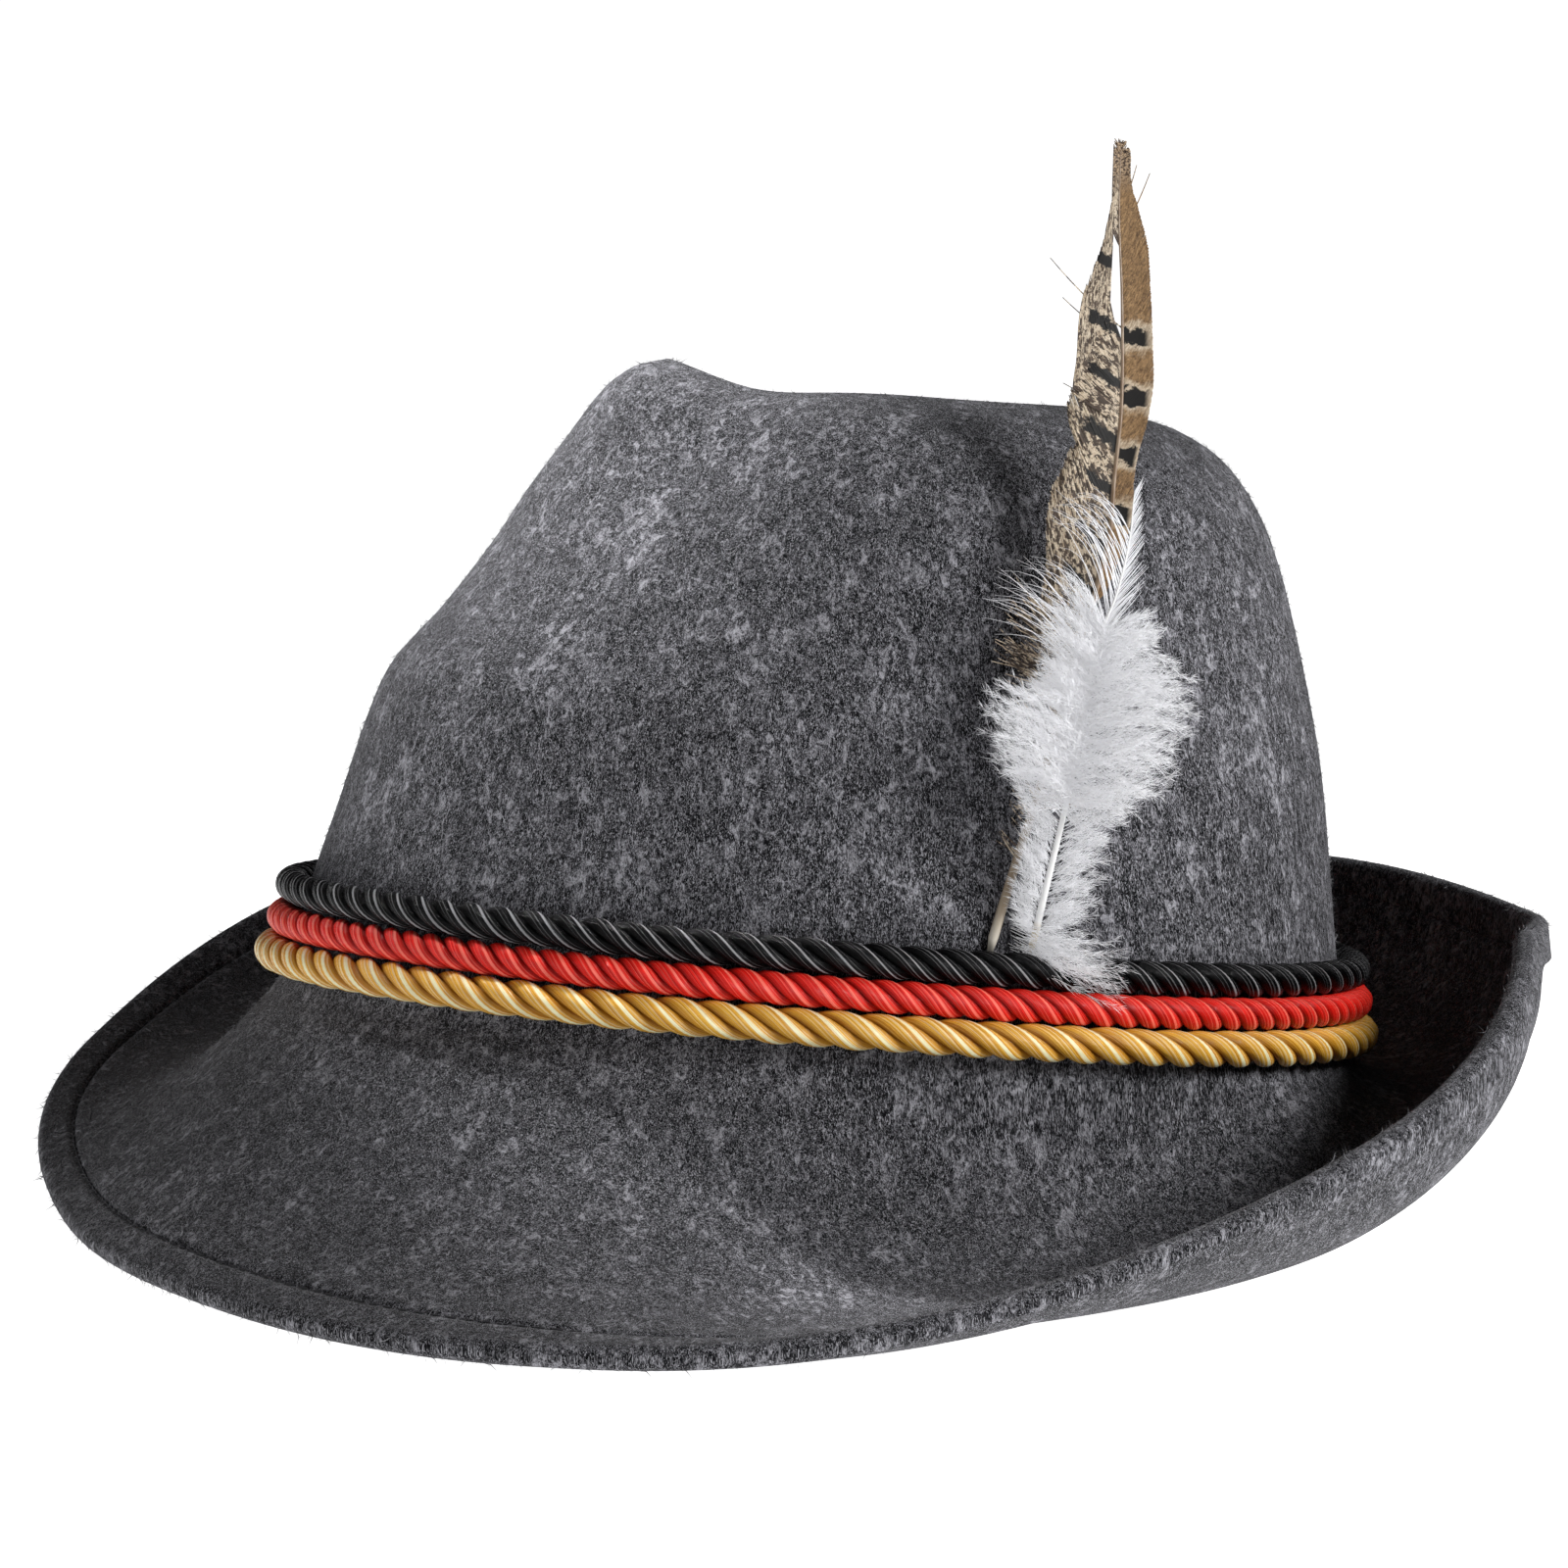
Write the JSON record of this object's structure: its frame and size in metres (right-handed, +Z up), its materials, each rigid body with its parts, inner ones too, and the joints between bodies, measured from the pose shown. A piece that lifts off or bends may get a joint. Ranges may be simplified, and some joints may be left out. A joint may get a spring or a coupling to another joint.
{
  "type": "tyrolean hat",
  "caption": "Grey felt hat with a creased crown, a stitched brim turned down in front and up behind, twisted satin cords round the crown and feathers on its side.",
  "frame": {"origin": "middle of the hat's box at the level of the floor that it rests on", "axes": "+Z up, -Y the way the wearer faces, +X the wearer's left, where the feathers are"},
  "size_m": [0.2914, 0.3036, 0.1959],
  "materials": {
    "felt": "mottled grey wool felt, matt",
    "gold_satin": "glossy satin",
    "red_satin": "glossy satin",
    "black_satin": "glossy satin",
    "pheasant_vane": "barred brown feather, matt",
    "white_down": "soft white down"
  },
  "bodies": {
    "root": {"felt_body": "felt", "gold_cord": "gold_satin", "red_cord": "red_satin", "black_cord": "black_satin", "pheasant_feather": "pheasant_vane", "white_feather": "white_down"}
  },
  "joints": []
}
